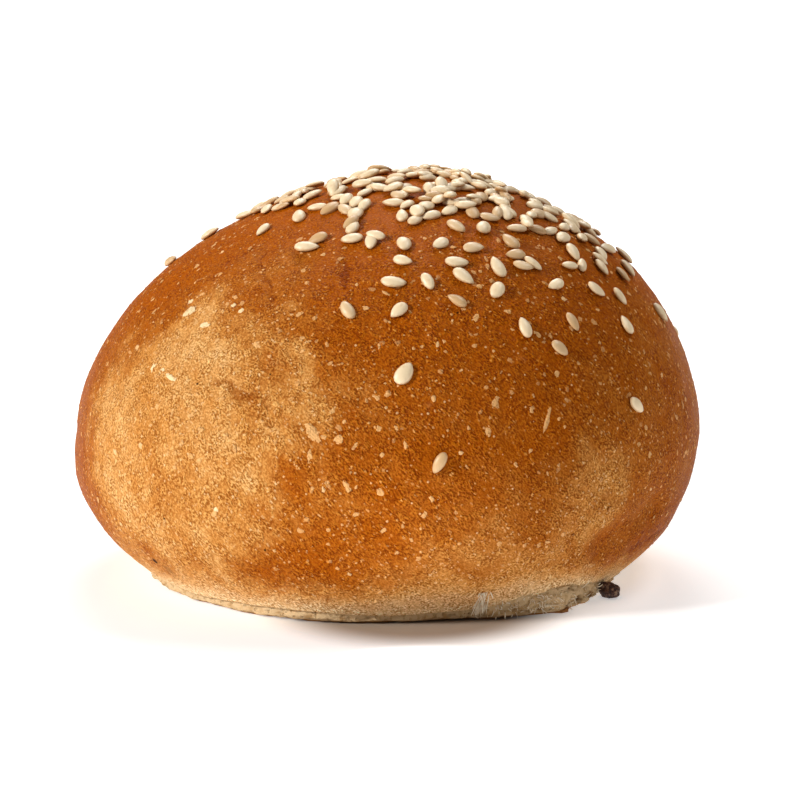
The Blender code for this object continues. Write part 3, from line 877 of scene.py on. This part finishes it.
SEED_SIDES, SEED_RINGS = 10, 8
SEED_KINDS = ((0.20, 1.08, 0.06), (0.32, 1.0, -0.10), (0.45, 1.04, 0.12), (0.28, 0.92, 0.0), (0.55, 0.98, -0.05))
FLAT_UNDER, GIRTH_GAIN = 0.7, 0.4
SEED_DRAW, SLENDER, THICKER, SEED_LIFT = 21, (0.86, 1.08), (0.95, 1.25), 0.12 * MM
FILLINGS = (((9.0 * MM, 0.0), 16.0 * MM, 1.6 * MM), ((-15.0 * MM, 2.0 * MM), 8.0 * MM, 2.4 * MM))
FILLING_TRIES = 1500
PILED_SEEDS, PILE_REACH, PILE_SHIFT = 18, 14.0 * MM, 1.3 * MM
PILE_LIFT, PILE_TILT = (0.3 * MM, 0.5 * MM), math.radians(18)


def seed_drop(co, point, wide, skew):
    """One seed along X, from a ball with its poles on Z: a drop, pointed at +X and flatter underneath."""
    from_tip = math.acos(max(-1.0, min(1.0, co.z)))
    girth = math.sin(from_tip / 2) ** point * (1 + GIRTH_GAIN * point) if from_tip else 1.0
    flat = FLAT_UNDER if co.x > 0 else 1.0
    across = (co.y * wide * girth + skew * (1 - co.z**2)) * SEED_WIDTH / 2
    return Vector((co.z * SEED_LENGTH / 2, across, -co.x * flat * SEED_THICKNESS / 2 * girth))


def repeated_faces(model, times):
    """The faces of this many copies of a mesh, one after another."""
    count, faces = len(model.vertices), [list(face.vertices) for face in model.polygons]
    return [[corner + number * count for corner in face] for number in range(times) for face in faces]


def joined(name, places, faces):
    mesh = bpy.data.meshes.new(name)
    mesh.from_pydata(places.tolist(), [], faces)
    made = bpy.data.objects.new(name, mesh)
    bpy.context.scene.collection.objects.link(made)
    return made


def filled_in(seats, draw):
    """More seeds, in the gaps between those of the patch."""
    taken, made = [laid.translation.xy for laid in seats], []
    for (middle, widest, least_gap), _ in product(FILLINGS, range(FILLING_TRIES)):
        bearing, reach = draw.uniform(0, 2 * math.pi), widest * math.sqrt(draw.random())
        place = Vector(middle) + reach * Vector((math.cos(bearing), math.sin(bearing)))
        gap = least_gap * (1 + draw.random() * (reach / widest) ** 2)
        if all((place - other).length > gap for other in taken):
            taken.append(place)
            tilt = (draw.uniform(-SEED_TILT, SEED_TILT), draw.uniform(-SEED_TILT, SEED_TILT))
            size = draw.uniform(1 - SEED_SIZE_SPREAD, 1 + SEED_SIZE_SPREAD / 2)
            made.append(seat(way_over(place), draw.uniform(0, 2 * math.pi), SEED_PROUD, tilt, size))
    return made


def piled(seats, draw):
    """More seeds, which lie askew over those in the middle of the patch."""
    middle = [laid for laid in seats if (laid.translation.xy - Vector(PATCH_MIDDLE)).length < PILE_REACH]
    made = []
    for under in draw.sample(middle, PILED_SEEDS):
        tilts = [draw.uniform(-PILE_TILT, PILE_TILT) for _ in range(2)]
        askew = Euler((*tilts, draw.uniform(0, 2 * math.pi))).to_matrix().to_4x4()
        shifts = [draw.uniform(-PILE_SHIFT, PILE_SHIFT) for _ in range(2)]
        made.append(under @ Matrix.Translation((*shifts, draw.uniform(*PILE_LIFT))) @ askew)
    return made


def sprinkle_seeds():
    model = added(bpy.ops.mesh.primitive_uv_sphere_add, segments=SEED_SIDES, ring_count=SEED_RINGS, radius=1)
    ball = [vertex.co.copy() for vertex in model.data.vertices]
    kinds = [np.array([seed_drop(co, *kind) for co in ball]) for kind in SEED_KINDS]
    draw = random.Random(SEED_DRAW)
    seats = seeds_on_crust()
    seats += filled_in(seats, draw)
    places = []
    for matrix in seats + piled(seats, draw):
        matrix = matrix @ Matrix.Translation((0, 0, SEED_LIFT))
        matrix = matrix @ Matrix.Diagonal((1, draw.uniform(*SLENDER), draw.uniform(*THICKER), 1))
        places.append(draw.choice(kinds) @ np.array(matrix.to_3x3()).T + np.array(matrix.translation))
    seeds = joined("seeds", np.concatenate(places), repeated_faces(model.data, len(places)))
    paint(seeds, "tone", np.repeat([draw.random() for _ in places], len(ball)))
    paint(seeds, "tip", np.tile([co.z / 2 for co in ball], len(places)))
    paint(seeds, "low", np.tile([(1 + co.x) / 2 for co in ball], len(places)))
    bpy.data.objects.remove(model)
    return finished(seeds, "seeds", sesame())


def tuft_polar(azimuth, height):
    """Polar angle at which the crust has come down to this height over the table."""
    edge = edge_round(azimuth)
    return edge[0] - max(0.0, height - edge[2]) / BELLY_RADIUS


def fibre_bent(model, root, way, curl, length, width):
    """A fibre's vertices, from a ball drawn out along a bent line."""
    side = way.orthogonal().normalized()
    other = way.cross(side)
    bent = []
    for vertex in model.vertices:
        share = (vertex.co.z + 1) / 2
        middle = root + length * (share * way + share**2 * curl)
        bent.append(middle + width / 2 * (vertex.co.x * side + vertex.co.y * other))
    return bent


def pull_fibres():
    """Fibres that stand out of the torn rim, and the tuft that hangs down over it."""
    model = added(bpy.ops.mesh.primitive_uv_sphere_add, segments=FIBRE_SIDES, ring_count=FIBRE_RINGS, radius=1)
    draw = random.Random(FIBRE_DRAW)
    shapes = []
    while len(shapes) < FIBRES:
        azimuth = TORN_AZIMUTH + draw.triangular(-1.4, 1.3) * TORN_SPREAD
        if any(abs(azimuth - hole_azimuth) * FOOT_RADIUS < 2 * half_width for hole_azimuth, _, half_width, _ in HOLES):
            continue
        outward = Vector((math.cos(azimuth), math.sin(azimuth), 0))
        top = edge_round(azimuth)[2]
        root = outward * (rim_reach(azimuth, 1) - 0.2 * MM) + Vector((0, 0, top * draw.uniform(0.3, 1.0)))
        wild = Vector([draw.gauss(0, 1) for _ in range(3)])
        way = (outward * 0.5 + wild * 0.7 + Vector((0, 0, -0.2))).normalized()
        curl = Vector([draw.gauss(0, 0.3) for _ in range(3)])
        length, width = draw.uniform(*FIBRE_LENGTH) * MM, draw.uniform(*FIBRE_WIDTH) * MM
        bent = fibre_bent(model.data, root, way, curl, length, width)
        if min(place.z for place in bent) > 0:
            shapes.append(bent)
    for number in range(TUFT_FIBRES + TUFT_FRAYS):
        frayed = number >= TUFT_FIBRES
        azimuth = TUFT_AZIMUTH + draw.gauss(0, TUFT_SPREAD)
        way = direction(azimuth, tuft_polar(azimuth, TUFT_HEIGHT * (1 if frayed else draw.uniform(0.45, 1.0))))
        point, normal, _ = crust_frame(way)
        point += relief(point) * way
        down = (Vector((0, 0, -1)) - normal * normal.dot(Vector((0, 0, -1)))).normalized()
        wild = Vector([draw.gauss(0, 0.5 if frayed else 0.10) for _ in range(3)])
        length = draw.uniform(0.5, 1.1) * MM if frayed else (point.z - 0.3 * MM) * draw.uniform(0.7, 1.0)
        lean = 0.5 * normal if frayed else 0.08 * normal
        shapes.append(fibre_bent(model.data, point + normal * 0.1 * MM, (down + wild + lean).normalized(),
                                 Vector((0, 0, -0.1)), length, draw.uniform(0.10, 0.22) * MM))
    fibres = joined("torn_fibres", np.array([place for bent in shapes for place in bent]),
                    repeated_faces(model.data, len(shapes)))
    bpy.data.objects.remove(model)
    return finished(fibres, "torn_fibres", torn_fibre())


SCORCH_SUBDIVISIONS = 6
SCORCH_LUMPS = ((1.0, 0.45), (0.45, 0.22), (0.2, 0.10), (0.1, 0.05))


def char_crumb():
    """The scorched crumb, a craggy lump that leans on the foot."""
    lump = added(bpy.ops.mesh.primitive_ico_sphere_add, subdivisions=SCORCH_SUBDIVISIONS, radius=0.5)
    middle = direction(SCORCH_AZIMUTH, math.pi / 2) * (rim_reach(SCORCH_AZIMUTH, 0) + SCORCH_OUT)
    turned = Matrix.Rotation(SCORCH_AZIMUTH, 3, "Z")

    def place(co):
        rough = 1 + sum(height * noise.noise(co / size) for size, height in SCORCH_LUMPS)
        drawn_out = SCORCH_ROOT if co.x < 0 else 1.0
        away = turned @ (rough * co * Vector(SCORCH_SIZE) * Vector((drawn_out, 1, 1)))
        return middle + Vector((away.x, away.y, max(0.02 * MM, SCORCH_SIZE[2] / 2 + away.z)))

    place_all(lump, place)
    return finished(lump, "scorched_crumb", scorched())


# The studio

def set_camera():
    lens = bpy.data.cameras.new("camera")
    lens.sensor_width, lens.lens = SENSOR, SENSOR * CAMERA_DISTANCE / FRAME_WIDTH
    lens.clip_start, lens.clip_end = 0.01, 20
    camera = bpy.data.objects.new("camera", lens)
    bpy.context.scene.collection.objects.link(camera)
    back = Vector((0, -math.cos(CAMERA_RISE), math.sin(CAMERA_RISE)))
    camera.location = AIM + CAMERA_DISTANCE * back
    camera.rotation_euler = (math.pi / 2 - CAMERA_RISE, 0, 0)
    bpy.context.scene.camera = camera


def hang_lights():
    for name, azimuth, rise, distance, size, watts, colour in LIGHTS:
        lamp = bpy.data.lights.new(name, "AREA")
        lamp.shape, lamp.size, lamp.energy, lamp.color = "DISK", size, watts, colour
        light = bpy.data.objects.new(name, lamp)
        bpy.context.scene.collection.objects.link(light)
        way = aimed(azimuth, 90 - rise)
        light.location = AIM + distance * way
        light.rotation_euler = way.to_track_quat("Z", "Y").to_euler()


def light_surround():
    """White all round: bright where the camera sees it, dimmer as a light."""
    world = bpy.data.worlds.new("surround")
    world.use_nodes = True
    nodes, links = world.node_tree.nodes, world.node_tree.links
    rays, level = nodes.new("ShaderNodeLightPath"), nodes.new("ShaderNodeMapRange")
    level.inputs["To Min"].default_value, level.inputs["To Max"].default_value = SURROUND, SEEN_SURROUND
    links.new(rays.outputs["Is Camera Ray"], level.inputs["Value"])
    links.new(level.outputs["Result"], nodes["Background"].inputs["Strength"])
    nodes["Background"].inputs["Color"].default_value = (1, 1, 1, 1)
    bpy.context.scene.world = world


def lay_floor():
    floor = added(bpy.ops.mesh.primitive_plane_add, size=FLOOR_SIZE)
    floor.name = "floor"
    floor.data.materials.append(white_floor())


def main():
    set_camera()
    hang_lights()
    light_surround()
    lay_floor()
    skin, crumb = baked_crust(), torn_crumb()
    bake_crust(skin)
    raise_blisters(skin)
    tear_rim(crumb)
    bake_sole()
    sprinkle_seeds()
    pull_fibres()
    char_crumb()
    bpy.context.scene.view_settings.view_transform = "Standard"


main()
